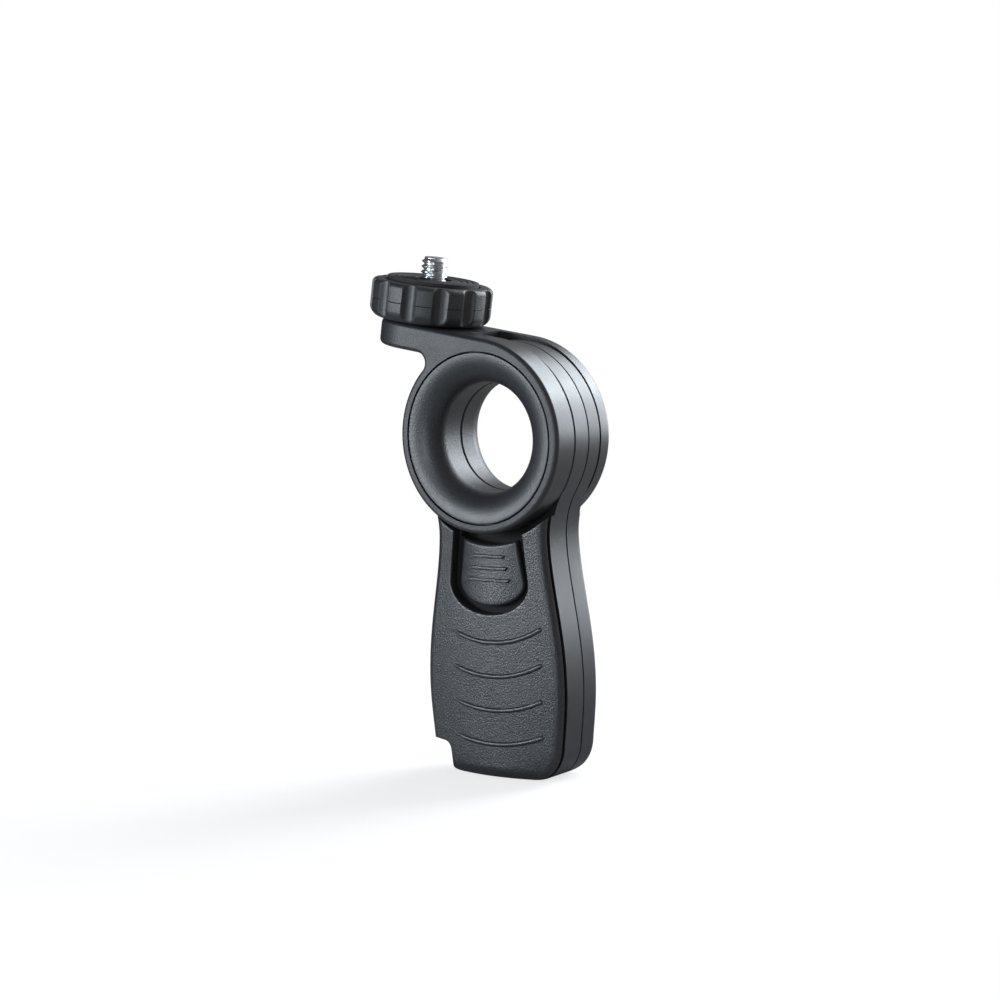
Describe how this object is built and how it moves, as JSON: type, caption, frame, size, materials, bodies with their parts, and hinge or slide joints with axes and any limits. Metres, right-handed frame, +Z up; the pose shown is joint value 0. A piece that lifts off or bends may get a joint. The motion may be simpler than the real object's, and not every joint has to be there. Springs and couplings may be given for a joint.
{
  "type": "rotating camera mount",
  "caption": "Hand grip with a hollow round hub that a fork arm turns about, a fluted lock wheel and camera stud on the arm, and a tripod socket in the base.",
  "frame": {"origin": "centre of the mouth of the tripod socket, on the flat of the base", "axes": "+Z up along the grip, -Y towards the front with the thumb button, +X to the right seen from the front; the grip's two shells part at y = 0 and the hub's axis runs along Y"},
  "size_m": [0.0567, 0.0286, 0.1214],
  "materials": {
    "grip_plastic": "black ABS with a fine sandy grain",
    "body_plastic": "black satin ABS",
    "arm_plastic": "black ABS, fine grain on the flat faces and satin on the edges",
    "bezel_plastic": "black satin ABS with a smoother bore",
    "button_plastic": "black ABS, fine grain",
    "wheel_plastic": "black ABS, fine grain",
    "slide_plastic": "dark grey acetal",
    "glide_plastic": "natural acetal",
    "friction_rubber": "brown-grey friction lining",
    "pad_rubber": "matte black rubber",
    "zinc_steel": "zinc plated steel",
    "brass": "turned brass"
  },
  "bodies": {
    "handle": {"handle_front_shell": "body_plastic", "handle_rear_shell": "body_plastic", "grip_cover": "grip_plastic", "shell_screw_1": "zinc_steel", "shell_screw_2": "zinc_steel", "shell_screw_3": "zinc_steel", "shell_screw_4": "zinc_steel", "tripod_insert": "brass", "front_glide_ring": "glide_plastic", "rear_glide_ring": "glide_plastic", "latch_spring": "zinc_steel"},
    "arm": {"arm_fork": "arm_plastic", "front_bezel": "bezel_plastic", "rear_bezel": "bezel_plastic", "brake_drum": "zinc_steel", "camera_stud": "zinc_steel", "stud_cap": "arm_plastic"},
    "latch": {"latch_button": "button_plastic", "latch_slide": "slide_plastic", "latch_screw": "zinc_steel", "brake_lining": "friction_rubber"},
    "pad": {"camera_pad": "pad_rubber"},
    "wheel": {"lock_wheel": "wheel_plastic", "wheel_insert": "brass"}
  },
  "joints": [
    {"name": "arm_turn", "type": "hinge", "parent": "handle", "child": "arm", "pos_m": [0, 0, 0.0794], "axis": [0, 1, 0], "range_deg": [-88, 144]},
    {"name": "latch_press", "type": "slide", "parent": "handle", "child": "latch", "axis": [0, 0, -1], "range_m": [0, 0.0014], "stiffness_N_per_m": 800, "springref_m": -0.002, "deforming": ["latch_spring"]},
    {"name": "wheel_lift", "type": "slide", "parent": "arm", "child": "pad", "axis": [0.1633, 0, 0.9866], "range_m": [0, 0.00254]},
    {"name": "wheel_turn", "type": "hinge", "parent": "pad", "child": "wheel", "pos_m": [-0.02025, -0.00193, 0.11073], "axis": [0.1633, 0, 0.9866], "range_deg": [0, 720]}
  ],
  "couplings": [
    {"joint": "wheel_turn", "follows": "wheel_lift", "rad_per_m": 4947.4}
  ]
}
